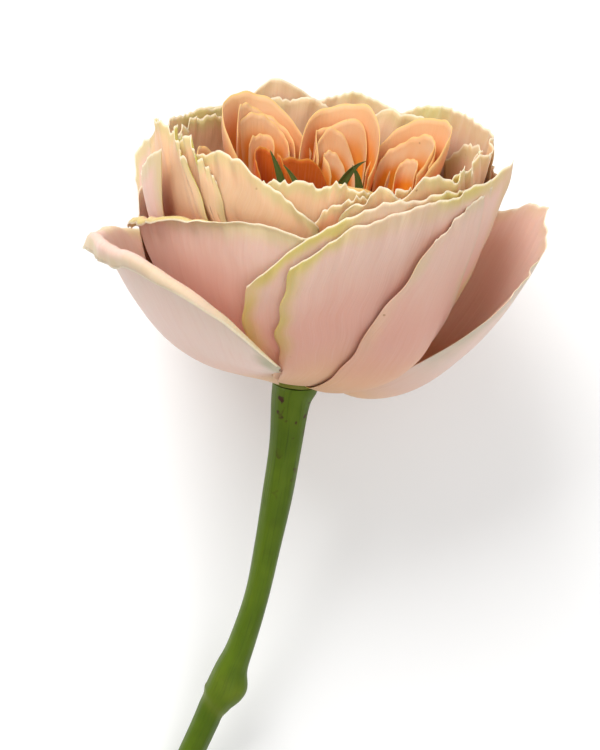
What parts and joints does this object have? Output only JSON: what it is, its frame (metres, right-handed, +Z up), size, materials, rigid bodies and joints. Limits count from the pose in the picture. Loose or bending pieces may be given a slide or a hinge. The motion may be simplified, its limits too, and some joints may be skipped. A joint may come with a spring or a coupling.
{
  "type": "garden rose",
  "caption": "Cut garden rose lying at rest: a full quartered bloom in blush, peach and apricot with ruffled cream rims on a bare curved green stem.",
  "frame": {"origin": "on the resting surface, under the middle of the lying rose's own box", "axes": "+Y along the length, from the cut end of the stem towards the bloom; +Z up from the resting surface; +X to the right seen from above"},
  "size_m": [0.0912, 0.1526, 0.0784],
  "materials": {
    "petal_guard": "soft petal, pale blush with cream and green rim",
    "petal_outer": "soft petal, blush and peach with veins",
    "petal_wall": "soft petal, peach with ruffled cream rim",
    "petal_rim": "soft petal, apricot inside",
    "petal_quarter": "soft petal, apricot deepening to orange",
    "petal_hub": "soft petal, deep orange red",
    "stem_green": "satin mid green with brown flecks",
    "leaflet_green": "satin dark green",
    "receptacle_green": "satin yellow green"
  },
  "bodies": {
    "root": {"stem": "stem_green", "receptacle": "receptacle_green", "leaflet_a": "leaflet_green", "leaflet_b": "leaflet_green", "leaflet_c": "leaflet_green", "leaflet_d": "leaflet_green", "guard_left": "petal_guard", "guard_right": "petal_guard", "guard_back_b": "petal_guard", "guard_back_a": "petal_guard", "guard_back_c": "petal_guard", "outer_f": "petal_outer", "outer_e": "petal_outer", "outer_d": "petal_outer", "outer_b": "petal_outer", "outer_h": "petal_outer", "outer_i": "petal_outer", "outer_k": "petal_outer", "outer_j": "petal_outer", "outer_c": "petal_outer", "wall_h": "petal_wall", "wall_j": "petal_wall", "wall_f": "petal_wall", "wall_a": "petal_wall", "wall_b": "petal_wall", "wall_i": "petal_wall", "wall_g": "petal_wall", "wall_e": "petal_wall", "wall_c": "petal_wall", "wall_d": "petal_wall", "rim_b": "petal_rim", "rim_d": "petal_rim", "rim_f": "petal_rim", "rim_h": "petal_rim", "rim_a": "petal_rim", "rim_c": "petal_rim", "rim_e": "petal_rim", "rim_g": "petal_rim", "quarter_a_1": "petal_quarter", "quarter_a_2": "petal_quarter", "quarter_a_3": "petal_quarter", "quarter_a_4": "petal_quarter", "quarter_b_1": "petal_quarter", "quarter_b_2": "petal_quarter", "quarter_b_3": "petal_quarter", "quarter_b_4": "petal_quarter", "quarter_c_1": "petal_quarter", "quarter_c_2": "petal_quarter", "quarter_c_3": "petal_quarter", "quarter_c_4": "petal_quarter", "quarter_d_1": "petal_quarter", "quarter_d_2": "petal_quarter", "quarter_d_3": "petal_quarter", "quarter_d_4": "petal_quarter", "quarter_e_1": "petal_quarter", "quarter_e_2": "petal_quarter", "quarter_e_3": "petal_quarter", "quarter_e_4": "petal_quarter", "hub_1": "petal_hub", "hub_2": "petal_hub"}
  },
  "joints": []
}
